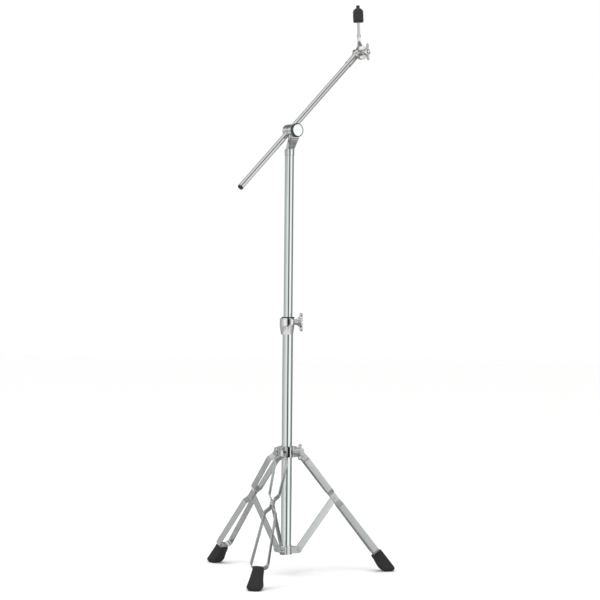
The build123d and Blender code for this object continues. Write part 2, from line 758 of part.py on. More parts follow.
with BuildPart() as boom_rod_plug:
    with BuildSketch(rod_plane(-boom_rod_below - side_gap)):
        Circle(rod_radius)
    extrude(amount=-boom_plug_length)
    far_rim = boom_rod_plug.edges().group_by(Axis(tilt_centre, boom_along))[0]
    fillet(far_rim, boom_plug_length * 0.7)
    with BuildSketch(rod_plane(-boom_rod_below - side_gap)):
        Circle(rod_radius - boom_rod_wall - running_fit)
    extrude(amount=12)
save(boom_rod_plug, "boom_rod_plug")

# ---------------------------------------------------------------- tilter at the boom's upper end
sleeve_radius = rod_radius + sleeve_wall
boss_far = -(sleeve_radius + 0.6)
boss_near = arm_across + arm_radius
disc_far = boss_near + ratchet_gap
disc_near = disc_far + tilter_disc_thickness
tilter_bolt_hole = screw_radius + running_fit

with BuildPart() as boom_end_fitting:
    with BuildSketch(rod_plane(sleeve_near_end)):
        Circle(sleeve_radius)
    extrude(amount=tilter_distance - sleeve_near_end)
    with BuildSketch(across_plane(tilter_centre, boss_far, boom_along)):
        Circle(tilter_boss_radius)
    extrude(amount=boss_near - boss_far)
    cut_hole(rod_plane(sleeve_near_end), rod_radius + fixed_fit, fitting_overlap)
    cut_hole(across_plane(tilter_centre, 0, boom_along), tilter_bolt_hole, 40, both=True)
    cut_teeth(across_plane(tilter_centre, boss_near, boom_along), 2 * screw_radius + 0.5, tilter_boss_radius)
save(boom_end_fitting, "boom_end_fitting")

arm_plane = Plane(origin=tilter_centre, x_dir=cymbal_up, z_dir=boom_across)
arm_base_width = 14
arm_base_start = tilter_boss_radius + 0.6
arm_base_height = 15
with BuildPart() as tilter_head:
    with BuildSketch(across_plane(tilter_centre, disc_far, cymbal_up)):
        Circle(tilter_disc_radius)
    extrude(amount=tilter_disc_thickness)
    outer_rim = tilter_head.edges().group_by(Axis(tilter_centre, boom_across))[-1]
    fillet(outer_rim, 1)
    with BuildSketch(cymbal_plane(arm_base_start)):
        with Locations((2, 0)):
            RectangleRounded(2 * arm_radius + 5, arm_base_width, 3)
    with BuildSketch(cymbal_plane(arm_base_start + arm_base_height)):
        Circle(arm_radius)
    loft()
    with BuildSketch(cymbal_plane(arm_base_start + arm_base_height)):
        Circle(arm_radius)
    extrude(amount=arm_length - arm_base_start - arm_base_height)
    cut_hole(across_plane(tilter_centre, 0, cymbal_up), tilter_bolt_hole, 40)
    cut_hole(cymbal_plane(arm_base_start + arm_base_height), cymbal_rod_radius + fixed_fit, 30)
    cut_teeth(across_plane(tilter_centre, disc_far, cymbal_up), 2 * screw_radius + 0.5, tilter_boss_radius)
save(tilter_head, "tilter_head")

tilter_bolt_head = 2.4
wing_seat = disc_near + 1.2
with BuildPart() as tilter_bolt:
    with BuildSketch(across_plane(tilter_centre, boss_far, boom_along)):
        Circle(tilter_boss_radius - 4)
    extrude(amount=-tilter_bolt_head)
    bolt_rim = tilter_bolt.edges().group_by(Axis(tilter_centre, boom_across))[0]
    fillet(bolt_rim, 1.6)
    with BuildSketch(across_plane(tilter_centre, boss_far, boom_along)):
        Circle(screw_radius)
    extrude(amount=wing_seat + wing_height - 2 - boss_far)
save(tilter_bolt, "tilter_bolt")

with BuildPart() as tilter_washer:
    with BuildSketch(across_plane(tilter_centre, disc_near + side_gap, boom_along)):
        Circle(tilter_boss_radius - 2.5)
        Circle(tilter_bolt_hole, mode=Mode.SUBTRACT)
    extrude(amount=wing_seat - disc_near - 2 * side_gap)
save(tilter_washer, "tilter_washer")

wing_tip_turn = 5
tilter_wing_nut = make_wing(
    Plane(
        origin=tilter_centre + boom_across * wing_seat,
        x_dir=up * cos(radians(wing_tip_turn)) - boom_out * sin(radians(wing_tip_turn)),
        z_dir=boom_across,
    ),
    span=37,
    bore_radius=tilter_bolt_hole,
)
save(tilter_wing_nut, "tilter_wing_nut")

# ---------------------------------------------------------------- cymbal rod, seat, nut and pad
seat_top = arm_length + seat_height
pad_bottom = seat_top + cymbal_rod_showing
nut_bottom = pad_bottom + nut_pad_height
nut_bore_depth = nut_height - 8
rod_into_arm = arm_length - arm_base_start - arm_base_height - 0.5
with BuildPart() as cymbal_rod:
    with BuildSketch(cymbal_plane(arm_length - rod_into_arm)):
        Circle(cymbal_rod_radius)
    extrude(amount=rod_into_arm + seat_height + cymbal_rod_showing + nut_pad_height + nut_bore_depth - 2)
    chamfer(cymbal_rod.edges().group_by(Axis(tilter_centre, cymbal_up))[-1], 0.6)
save(cymbal_rod, "cymbal_rod")

with BuildPart() as cymbal_seat:
    with BuildSketch(cymbal_plane(arm_length)):
        Circle(seat_radius)
        Circle(cymbal_rod_radius + fixed_fit, mode=Mode.SUBTRACT)
    extrude(amount=seat_height)
save(cymbal_seat, "cymbal_seat")

with BuildPart() as nut_pad:
    with BuildSketch(cymbal_plane(pad_bottom)):
        Circle(nut_radius - 0.2)
        Circle(cymbal_rod_radius + running_fit, mode=Mode.SUBTRACT)
    extrude(amount=nut_pad_height - fixed_fit)
save(nut_pad, "nut_pad")

shoulder_start = nut_height - 12.5
neck_start = nut_height - 7
nut_axis_plane = Plane(origin=cymbal_plane(nut_bottom).origin, x_dir=boom_across, z_dir=cymbal_up.cross(-boom_across))
with BuildPart() as cymbal_nut:
    with BuildSketch(nut_axis_plane):
        with BuildLine():
            Polyline((0, 0), (nut_radius, 0), (nut_radius, shoulder_start))
            EllipticalCenterArc(
                (nut_neck_radius, shoulder_start),
                nut_radius - nut_neck_radius,
                neck_start - shoulder_start,
                start_angle=0,
                arc_size=90,
            )
            Polyline((nut_neck_radius, neck_start), (nut_neck_radius, nut_height), (0, nut_height), (0, 0))
        make_face()
    revolve(axis=Axis(nut_axis_plane.origin, cymbal_up))
    fillet(cymbal_nut.edges().group_by(Axis(tilter_centre, cymbal_up))[-1], 1)
    cut_hole(cymbal_plane(nut_bottom), cymbal_rod_radius + running_fit, nut_bore_depth)
save(cymbal_nut, "cymbal_nut")
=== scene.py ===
"""Looks of the cymbal boom stand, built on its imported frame."""

import json
import math

import bmesh
import bpy
import numpy as np
from bpy.props import FloatProperty, FloatVectorProperty, PointerProperty
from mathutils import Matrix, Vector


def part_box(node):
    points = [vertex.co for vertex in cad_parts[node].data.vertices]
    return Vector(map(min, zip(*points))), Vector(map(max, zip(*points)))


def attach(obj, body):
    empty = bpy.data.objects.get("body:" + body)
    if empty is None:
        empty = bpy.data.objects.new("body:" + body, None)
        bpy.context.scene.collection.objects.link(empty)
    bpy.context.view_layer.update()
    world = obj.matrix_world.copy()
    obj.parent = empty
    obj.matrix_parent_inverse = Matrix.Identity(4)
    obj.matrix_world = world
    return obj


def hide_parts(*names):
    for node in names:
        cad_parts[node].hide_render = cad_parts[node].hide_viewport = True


bl_info = {
    "name": "Cymbal boom stand",
    "version": (1, 0, 0),
    "blender": (4, 5, 0),
    "location": "3D View > Sidebar > Stand",
    "description": "Builds the plated, cast and rubber pieces of a cymbal boom stand on its frame",
    "category": "Object",
}

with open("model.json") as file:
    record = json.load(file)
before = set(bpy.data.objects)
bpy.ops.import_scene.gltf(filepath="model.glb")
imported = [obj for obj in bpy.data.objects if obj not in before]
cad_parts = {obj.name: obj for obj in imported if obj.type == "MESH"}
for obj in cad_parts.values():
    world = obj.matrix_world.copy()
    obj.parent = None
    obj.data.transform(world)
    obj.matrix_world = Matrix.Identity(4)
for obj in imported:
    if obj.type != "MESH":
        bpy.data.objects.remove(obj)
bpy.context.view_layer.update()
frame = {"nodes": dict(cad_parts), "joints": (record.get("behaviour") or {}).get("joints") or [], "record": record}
JOINTS = {joint["name"]: joint for joint in frame["joints"]}
UP = np.array([0.0, 0.0, 1.0])
MM = 0.001
SIDES = ("right", "left", "front")


# ---------------------------------------------------------------- places taken from the frame
def unit(vector):
    """The vector divided by its length."""
    vector = np.asarray(vector, float)
    return vector / np.linalg.norm(vector)


def joint_place(name):
    """Where a joint's axis passes, in metres."""
    return np.array(JOINTS[name]["pos_m"], float)


def joint_axis(name):
    """Direction of a joint's axis."""
    return unit(JOINTS[name]["axis"])


def low(node):
    """Least x, y and z of a node."""
    return np.array(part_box(node)[0])


def high(node):
    """Greatest x, y and z of a node."""
    return np.array(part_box(node)[1])


ACROSS = joint_axis("boom_tilt")
ALONG = joint_axis("boom_slide")
TILT = joint_place("boom_tilt")
TILTER = joint_place("tilter_tilt")
CYMBAL_UP = joint_axis("cymbal_nut_lift")
ROD_LINE = joint_place("cymbal_nut_turn")


def strut_foot(side):
    """Where a strut turns on the bottom collar."""
    name = "tripod_fold" if side == "right" else f"strut_{side}_fold"
    return joint_place(name)


def leg_outward(side):
    """Level direction away from the column in this leg's plane."""
    return np.cross(UP, joint_axis(f"leg_{side}_knee"))


# ---------------------------------------------------------------- sizes and colours that a user would change
def length(name, what, default):
    """Property for a length in metres."""
    return FloatProperty(name=name, description=what, default=default, unit="LENGTH")


def tint(name, what, default):
    """Property for a colour."""
    return FloatVectorProperty(name=name, description=what, default=default, subtype="COLOR")


def power(name, what, default):
    """Property for a softbox's power in watts."""
    return FloatProperty(name=name, description=what, default=default, unit="POWER")


class TripodSizes(bpy.types.PropertyGroup):
    leg_angle: FloatProperty(
        name="Leg angle",
        description="Angle of each leg from vertical",
        default=math.radians(38.2),
        subtype="ANGLE",
    )
    knee_distance: length("Knee distance", "From a leg's top pin to its knee pin", 0.120)
    leg_length: length("Leg length", "From the top pin to the hairpin's end", 0.275)
    bar_width: length("Bar width", "Width of the leg's flat bar", 0.014)
    bar_thickness: length("Bar thickness", "Thickness of the leg's flat bar", 0.002)
    bar_edge: length("Bar edge", "Radius on the long edges of the bars", 0.0007)
    strut_width: length("Strut width", "Width of each strut", 0.015)
    strut_thickness: length("Strut thickness", "Thickness of each strut", 0.003)


class WingSizes(bpy.types.PropertyGroup):
    blade_thickness: length("Blade thickness", "Thickness of a wing near its hub", 0.0044)
    hub_radius: length("Hub radius", "Radius of a wing's hub", 0.0056)
    height: length("Height", "From the seat to the wing's far edge", 0.022)


class KnobSizes(bpy.types.PropertyGroup):
    radius: length("Radius", "Radius of the clamp knob", 0.015)
    cap_radius: length("Cap radius", "Radius of the bright cap in the knob", 0.0126)


class StandFinish(bpy.types.PropertyGroup):
    plate_colour: tint("Plating", "Colour of the bright plating", (0.80, 0.845, 0.83))
    casting_colour: tint("Castings", "Colour of the plated castings", (0.808, 0.813, 0.803))
    bar_colour: tint("Bars", "Colour of the plated bars and boom rod", (0.812, 0.827, 0.812))
    rubber_colour: tint("Rubber", "Colour of the feet", (0.014, 0.0135, 0.013))
    plastic_colour: tint("Plastic", "Colour of the nut, plug and bush", (0.020, 0.021, 0.024))


class StageSettings(bpy.types.PropertyGroup):
    floor_colour: tint("Floor", "Colour of the floor", (0.975, 0.975, 0.97))
    key_power: power("Key light", "Power of the left softbox", 30.0)
    fill_power: power("Fill light", "Power of the right softbox", 16.0)
    overhead: FloatProperty(
        name="Overhead light", description="Strength of the soft overhead light", default=1.72
    )
    camera_distance: length("Camera distance", "From the column to the camera", 3.8)
    lens: FloatProperty(name="Lens", description="Focal length of the camera", default=105.8, unit="CAMERA")


# ---------------------------------------------------------------- shapes
def frame_about(axis, toward):
    """Three unit vectors: one square to the axis and nearest to toward, one square to both, and the axis."""
    w = unit(axis)
    u = unit(np.asarray(toward, float) - w * np.dot(toward, w))
    return u, np.cross(w, u), w


def swing(radius, angle, u, v):
    """Points at a radius from a line: radius * (cos(angle) * u + sin(angle) * v)."""
    return radius[..., None] * (np.cos(angle)[..., None] * u + np.sin(angle)[..., None] * v)


def squarish(value, power):
    """The value raised to a power with its sign kept: as cosine and sine, it makes an oval more square."""
    return np.sign(value) * np.abs(value) ** power


def softened(values, weights):
    """Running average over five neighbours, with the end values held."""
    return np.convolve(np.pad(values, 2, mode="edge"), np.array(weights) / sum(weights), mode="valid")


def rounded_path(corners, radii, steps=5, closed=False):
    """Straight runs with an arc at each inner corner.

    The arc of radius r at a corner starts r * tan(turn / 2) before it. It is drawn as the curve
    (1 - t)^2 * start + 2t(1 - t) * corner + t^2 * end, pulled to the true arc by its weight cos(turn / 2)."""
    corners = np.asarray(corners, float)
    count = len(corners)
    out = []
    for i in range(count):
        if not closed and i in (0, count - 1):
            out.append(corners[i][None, :])
            continue
        before, here, after = corners[i - 1], corners[i], corners[(i + 1) % count]
        a, b = unit(before - here), unit(after - here)
        turn = math.pi - math.acos(float(np.clip(np.dot(a, b), -1, 1)))
        radius = radii[i] if hasattr(radii, "__len__") else radii
        reach = radius * math.tan(turn / 2)
        reach = min(reach, 0.49 * np.linalg.norm(before - here), 0.49 * np.linalg.norm(after - here))
        if reach < 1e-9 or turn < 1e-3:
            out.append(here[None, :])
            continue
        t = np.linspace(0, 1, steps + 1)[:, None]
        weight = math.cos(turn / 2)
        blend = (1 - t) ** 2 + 2 * t * (1 - t) * weight + t**2
        start, end = here + a * reach, here + b * reach
        out.append(((1 - t) ** 2 * start + 2 * t * (1 - t) * weight * here + t**2 * end) / blend)
    return np.concatenate(out)


def rounded_box_section(half_x, half_y, radius, steps=3):
    """Rectangle with round corners, as one closed ring of (x, y)."""
    corners = [(half_x, -half_y), (half_x, half_y), (-half_x, half_y), (-half_x, -half_y)]
    return rounded_path(corners, radius, steps, closed=True)


def mesh_from_grid(name, grid, ring=False, smooth_angle=35.0):
    """Closed skin over rows of points: each row is a loop round the piece.

    With ring, the last row joins the first. Otherwise each end row is closed by one face, and rows that
    shrink to a point are merged. The sign of the enclosed volume, the sum of a . (b x c) / 6, sets which way
    faces point."""
    rows, cols = grid.shape[:2]
    points = grid.reshape(-1, 3)
    i = np.arange(rows if ring else rows - 1)[:, None]
    j = np.arange(cols)[None, :]
    i2 = (i + 1) % rows
    j2 = (j + 1) % cols
    quads = np.stack([i * cols + j, i * cols + j2, i2 * cols + j2, i2 * cols + j], axis=-1).reshape(-1, 4)
    a, b, c, d = (points[quads[:, k]] for k in range(4))
    volume = np.einsum("ij,ij->i", a, np.cross(b, c)).sum() + np.einsum("ij,ij->i", a, np.cross(c, d)).sum()
    if not ring:
        for row, sign in ((0, 1), (rows - 1, -1)):
            loop = grid[row]
            middle = loop.mean(axis=0)
            nxt = np.roll(loop, -1, axis=0)
            fan = np.einsum("ij,ij->i", np.broadcast_to(middle, loop.shape), np.cross(nxt, loop)).sum()
            volume += sign * fan
    faces = quads.tolist()
    if not ring:
        faces.append(list(range(cols))[::-1])
        faces.append(list(range((rows - 1) * cols, rows * cols)))
    if volume < 0:
        faces = [face[::-1] for face in faces]
    mesh = bpy.data.meshes.new(name)
    mesh.from_pydata(points.tolist(), [], faces)
    tidy_mesh(mesh, smooth_angle)
    return mesh


def tidy_mesh(mesh, smooth_angle):
    """Merges doubled points, drops empty faces, and shades smooth except across sharper edges."""
    bm = bmesh.new()
    bm.from_mesh(mesh)
    bmesh.ops.remove_doubles(bm, verts=bm.verts, dist=2e-6)
    bmesh.ops.dissolve_degenerate(bm, edges=bm.edges, dist=1e-7)
    bm.to_mesh(mesh)
    bm.free()
    mesh.shade_smooth()
    mesh.set_sharp_from_angle(angle=math.radians(smooth_angle))
    mesh.validate()


def lathe(name, profile, origin, axis, toward, segments=96, ring=False, ripple=None, smooth_angle=35.0):
    """Surface of revolution of (radius, height) about the axis; ripple(angle, height) scales the radius."""
    u, v, w = frame_about(axis, toward)
    profile = np.asarray(profile, float)
    angle = np.linspace(0, 2 * math.pi, segments, endpoint=False)
    radius = np.repeat(profile[:, :1], segments, axis=1)
    height = np.repeat(profile[:, 1:], segments, axis=1)
    if ripple is not None:
        radius = radius * ripple(angle[None, :], height)
    grid = np.asarray(origin) + swing(radius, angle[None, :], u, v) + height[..., None] * w
    return mesh_from_grid(name, grid, ring=ring, smooth_angle=smooth_angle)


def tube_profile(outer, inner, bottom, top, lip):
    """Closed ring of a tube's wall with rounded lips."""
    corners = [(outer, bottom), (outer, top), (inner, top), (inner, bottom)]
    return rounded_path(corners, lip, 4, closed=True)


def flat_bar(name, path, flat, width, thickness, edge):
    """Flat bar bent along a path: its thickness lies in the plane of the bends, its width along flat.

    The half width near an end is sqrt(R^2 - (R - d)^2), d being the distance from the end."""
    path = np.asarray(path, float)
    step = np.linalg.norm(np.diff(path, axis=0), axis=1)
    length = np.concatenate([[0], np.cumsum(step)])
    cap = width / 2
    fine = cap * (1 - np.cos(np.linspace(0.02, math.pi / 2, 14)))
    samples = np.unique(np.round(np.concatenate([length[1:-1], fine, length[-1] - fine]), 8))
    points = np.stack([np.interp(samples, length, path[:, k]) for k in range(3)], axis=1)
    tangent = np.gradient(points, samples, axis=0)
    tangent /= np.linalg.norm(tangent, axis=1)[:, None]
    side = np.cross(tangent, flat)
    side /= np.linalg.norm(side, axis=1)[:, None]
    inside = np.clip(np.minimum(samples, length[-1] - samples), 0, cap)
    scale = np.sqrt(np.maximum(cap**2 - (cap - inside) ** 2, 0)) / cap
    section = rounded_box_section(thickness / 2, width / 2, edge)
    grid = (
        points[:, None, :]
        + section[None, :, :1] * side[:, None, :]
        + section[None, :, 1:] * scale[:, None, None] * np.asarray(flat)[None, None, :]
    )
    return mesh_from_grid(name, grid)


def blade_mesh(name, seat, span_dir, axis, sizes):
    """One wing: oval sections whose middle c, half height h and half thickness t follow the distance x."""
    x, c, h, t = (np.array(column) for column in zip(*sizes))
    fine = np.linspace(x[0], x[-1], 40)
    fine = x[0] + (x[-1] - x[0]) * (1 - (1 - (fine - x[0]) / (x[-1] - x[0])) ** 1.6)
    c, h, t = (np.interp(fine, x, column) for column in (c, h, t))
    c, h, t = (softened(column, (1, 2, 3, 2, 1)) for column in (c, h, t))
    h[-1] = t[-1] = 0.05 * MM
    angle = np.linspace(0, 2 * math.pi, 28, endpoint=False)
    thick_dir = np.cross(span_dir, axis)
    grid = (
        np.asarray(seat)
        + fine[:, None, None] * span_dir
        + (c[:, None] + h[:, None] * squarish(np.cos(angle), 0.8)[None, :])[..., None] * axis
        + (t[:, None] * squarish(np.sin(angle), 0.8)[None, :])[..., None] * thick_dir
    )
    return mesh_from_grid(name, grid)


def fuse(obj, voxel, rounds):
    """Melts overlapping shells into one skin, then relaxes it so that joints have fillets."""
    remesh = obj.modifiers.new("one_skin", "REMESH")
    remesh.mode = "VOXEL"
    remesh.voxel_size = voxel
    relax = obj.modifiers.new("fillets", "SMOOTH")
    relax.factor = 0.5
    relax.iterations = rounds
    depsgraph = bpy.context.evaluated_depsgraph_get()
    mesh = bpy.data.meshes.new_from_object(obj.evaluated_get(depsgraph))
    old = obj.data
    obj.modifiers.clear()
    obj.data = mesh
    bpy.data.meshes.remove(old)
    mesh.shade_smooth()
    return obj


def joined(name, meshes):
    """One object from several closed meshes."""
    bm = bmesh.new()
    for mesh in meshes:
        bm.from_mesh(mesh)
        bpy.data.meshes.remove(mesh)
    whole = bpy.data.meshes.new(name)
    bm.to_mesh(whole)
    bm.free()
    whole.shade_smooth()
    return new_object(name, whole)


def even_faces(obj):
    """Lets the large flat faces set the shading, so that only the rounded edges bend the reflections."""
    weighted = obj.modifiers.new("even_faces", "WEIGHTED_NORMAL")
    weighted.mode = "FACE_AREA"
    weighted.weight = 80
    weighted.keep_sharp = True
    return obj


def new_object(name, data):
    """Object of a mesh, lamp or camera, in the scene's collection."""
    obj = bpy.data.objects.new(name, data)
    bpy.context.scene.collection.objects.link(obj)
    return obj


def body_holding(node):
    """Name of the body that a node belongs to."""
    for body, members in frame["record"]["behaviour"]["bodies"].items():
        if node in members:
            return body
    raise RuntimeError(f"no body holds {node}")


def place(obj, material, *nodes):
    """Gives a finished piece its material, its body and the frame nodes that it stands for."""
    obj.data.materials.clear()
    obj.data.materials.append(material)
    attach(obj, body_holding(nodes[0]))
    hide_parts(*nodes)
    return obj


def eased_copy(node, name, material, edge):
    """Copy of a frame node with merged points, flat faces made whole, and its sharp edges rounded."""
    angle = math.radians(32)
    mesh = frame["nodes"][node].data.copy()
    mesh.name = name
    mesh.materials.clear()
    bm = bmesh.new()
    bm.from_mesh(mesh)
    bmesh.ops.remove_doubles(bm, verts=bm.verts, dist=2e-6)
    bmesh.ops.dissolve_limit(bm, angle_limit=math.radians(0.4), verts=bm.verts, edges=bm.edges)
    bm.to_mesh(mesh)
    bm.free()
    for attribute in [a.name for a in mesh.attributes if a.name == "custom_normal"]:
        mesh.attributes.remove(mesh.attributes[attribute])
    mesh.shade_smooth()
    mesh.set_sharp_from_angle(angle=angle)
    obj = new_object(name, mesh)
    bevel = obj.modifiers.new("eased_edges", "BEVEL")
    bevel.width = edge
    bevel.segments = 2
    bevel.limit_method = "ANGLE"
    bevel.angle_limit = angle
    bevel.harden_normals = True
    bevel.use_clamp_overlap = True
    return place(obj, material, node)


# ---------------------------------------------------------------- finishes
def socket(group, name, kind, way, default=None):
    """Adds an input or an output to a node group."""
    made = group.interface.new_socket(name=name, in_out=way, socket_type=kind)
    if default is not None:
        made.default_value = default


def connect(tree, *wires):
    """Links node outputs to node inputs: (from node, output, to node, input) for each wire."""
    for giver, output, taker, entry in wires:
        tree.links.new(giver.outputs[output], taker.inputs[entry])


def fill_ramp(node, stops):
    """Puts colour stops (position, r, g, b) in a colour ramp in place of its own."""
    elements = node.color_ramp.elements
    while len(elements) > 1:
        elements.remove(elements[0])
    for index, (where, *colour) in enumerate(stops):
        element = elements[0] if index == 0 else elements.new(where)
        element.position = where
        element.color = (*colour, 1)


def wear_group():
    """Node group: slow clouds and fine scratches in Object coordinates, as a mask and a height."""
    group = bpy.data.node_groups.new("plating_wear", "ShaderNodeTree")
    socket(group, "Cloud size", "NodeSocketFloat", "INPUT", 40.0)
    socket(group, "Grain size", "NodeSocketFloat", "INPUT", 900.0)
    socket(group, "Stretch", "NodeSocketVector", "INPUT", (1.0, 1.0, 1.0))
    socket(group, "Mask", "NodeSocketFloat", "OUTPUT")
    socket(group, "Height", "NodeSocketFloat", "OUTPUT")
    nodes = group.nodes
    inside = nodes.new("NodeGroupInput")
    outside = nodes.new("NodeGroupOutput")
    coords = nodes.new("ShaderNodeTexCoord")
    mapping = nodes.new("ShaderNodeMapping")
    cloud = nodes.new("ShaderNodeTexNoise")
    cloud.inputs["Detail"].default_value = 3
    grain = nodes.new("ShaderNodeTexNoise")
    grain.inputs["Detail"].default_value = 4
    spread = nodes.new("ShaderNodeMapRange")
    spread.inputs["From Min"].default_value = 0.3
    spread.inputs["From Max"].default_value = 0.7
    connect(
        group,
        (coords, "Object", mapping, "Vector"),
        (inside, "Stretch", mapping, "Scale"),
        (coords, "Object", cloud, "Vector"),
        (mapping, "Vector", grain, "Vector"),
        (inside, "Cloud size", cloud, "Scale"),
        (inside, "Grain size", grain, "Scale"),
        (cloud, "Fac", spread, "Value"),
        (spread, "Result", outside, "Mask"),
        (grain, "Fac", outside, "Height"),
    )
    return group


def finish(name, wear, light, dark, rough_low, rough_high, metallic, cloud, grain, stretch, bump):
    """Principled material: colour and roughness run between two values with the wear mask; grain is a bump."""
    material = bpy.data.materials.new(name)
    material.use_nodes = True
    nodes = material.node_tree.nodes
    shader = nodes["Principled BSDF"]
    shader.inputs["Metallic"].default_value = metallic
    worn = nodes.new("ShaderNodeGroup")
    worn.node_tree = wear
    worn.inputs["Cloud size"].default_value = cloud
    worn.inputs["Grain size"].default_value = grain
    worn.inputs["Stretch"].default_value = stretch
    colour = nodes.new("ShaderNodeValToRGB")
    colour.color_ramp.elements[0].color = (*dark, 1.0)
    colour.color_ramp.elements[1].color = (*light, 1.0)
    rough = nodes.new("ShaderNodeMapRange")
    rough.inputs["To Min"].default_value = rough_low
    rough.inputs["To Max"].default_value = rough_high
    relief = nodes.new("ShaderNodeBump")
    relief.inputs["Strength"].default_value = bump
    relief.inputs["Distance"].default_value = 0.2 * MM
    connect(
        material.node_tree,
        (worn, "Mask", colour, "Fac"),
        (worn, "Mask", rough, "Value"),
        (worn, "Height", relief, "Height"),
        (colour, "Color", shader, "Base Color"),
        (rough, "Result", shader, "Roughness"),
        (relief, "Normal", shader, "Normal"),
    )


def shade(colour, amount):
    """The colour made lighter or darker, no channel past 1."""
    return tuple(min(1.0, channel * amount) for channel in colour)


class STAND_OT_finishes(bpy.types.Operator):
    """Make the materials of the stand"""

    bl_idname = "stand.finishes"
    bl_label = "Finishes"

    def execute(self, context):
        look = context.scene.stand_finish
        wear = wear_group()
        plate, cast, bar = tuple(look.plate_colour), tuple(look.casting_colour), tuple(look.bar_colour)
        rubber, plastic = tuple(look.rubber_colour), tuple(look.plastic_colour)
        upright = (1.0, 1.0, 0.02)
        even = (1.0, 1.0, 1.0)
        # name, colour and its share in light and in worn places, roughness from and to, metallic,
        # cloud size, grain size, stretch of the grain, strength of the bump
        for name, colour, light, dark, low_rough, high_rough, metallic, cloud, grain, stretch, bump in (
            ("tube_plate", plate, 1.00, 0.95, 0.045, 0.10, 1.0, 9.0, 700.0, upright, 0.02),
            ("rod_plate", bar, 1.00, 0.95, 0.045, 0.10, 1.0, 9.0, 700.0, upright, 0.02),
            ("bar_plate", bar, 0.97, 0.90, 0.14, 0.26, 1.0, 30.0, 500.0, even, 0.05),
            # the struts' plating: the bar colour made lighter, as painted light
            ("strut_plate_lit", bar, 1.05, 0.98, 0.08, 0.16, 1.0, 30.0, 500.0, even, 0.05),
            ("cast_plate", cast, 1.00, 0.88, 0.09, 0.20, 1.0, 60.0, 420.0, even, 0.10),
            # ribs: a darker copy of the casting colour, as painted shade on the ribbed neck face
            ("rib_painted_shade", cast, 0.74, 0.56, 0.20, 0.34, 1.0, 60.0, 420.0, even, 0.10),
            # knob rim: the casting colour near black, as painted shade on the knurled chrome rim
            ("rim_painted_shade", cast, 0.20, 0.12, 0.18, 0.30, 1.0, 90.0, 700.0, even, 0.10),
            ("cap_plate", plate, 1.18, 1.15, 0.30, 0.36, 0.25, 90.0, 900.0, even, 0.04),
            # clamp and tilter head: the casting colour made lighter, as painted light
            ("clamp_plate_lit", cast, 1.10, 0.98, 0.05, 0.11, 1.0, 60.0, 420.0, even, 0.06),
            # screw shanks: the casting colour near black, as painted shade in the slots
            ("shank_painted_shade", cast, 0.07, 0.05, 0.35, 0.50, 1.0, 60.0, 900.0, even, 0.05),
            ("screw_plate", cast, 1.02, 0.85, 0.14, 0.28, 1.0, 120.0, 900.0, even, 0.08),
            ("foot_rubber", rubber, 1.50, 1.00, 0.55, 0.75, 0.0, 45.0, 1400.0, even, 0.35),
            ("nut_plastic", plastic, 1.40, 1.00, 0.50, 0.62, 0.0, 80.0, 1800.0, even, 0.15),
            ("bush_nylon", plastic, 1.50, 1.00, 0.42, 0.58, 0.0, 60.0, 1500.0, even, 0.20),
        ):
            shades = shade(colour, light), shade(colour, dark)
            finish(name, wear, *shades, low_rough, high_rough, metallic, cloud, grain, stretch, bump)
        return {"FINISHED"}


def metal(name):
    """Material of this name."""
    return bpy.data.materials[name]


# ---------------------------------------------------------------- pieces
class STAND_OT_tubes(bpy.types.Operator):
    """Build the two column tubes and the boom rod with rolled lips"""

    bl_idname = "stand.tubes"
    bl_label = "Tubes and boom rod"

    def execute(self, context):
        lip, column_wall = 0.4 * MM, 1.2 * MM
        for node in ("base_tube", "upper_tube"):
            name = f"{node}_polished"
            bottom, top = low(node)[2], high(node)[2]
            outer = (high(node)[0] - low(node)[0]) / 2
            profile = tube_profile(outer, outer - column_wall, bottom, top, lip)
            mesh = lathe(name, profile, (0, 0, 0), UP, (1, 0, 0), 128, ring=True)
            place(even_faces(new_object(name, mesh)), metal("tube_plate"), node)
        rod, rod_wall = 6.35 * MM, 1.5 * MM
        slant = rod * math.hypot(ALONG[0], ALONG[1])
        start = (low("boom_rod")[2] - TILT[2] + slant) / ALONG[2]
        end = (high("boom_rod")[2] - TILT[2] - slant) / ALONG[2]
        profile = tube_profile(rod, rod - rod_wall, start, end, lip)
        mesh = lathe("boom_rod_polished", profile, TILT, ALONG, ACROSS, 96, ring=True)
        place(even_faces(new_object("boom_rod_polished", mesh)), metal("rod_plate"), "boom_rod")
        return {"FINISHED"}


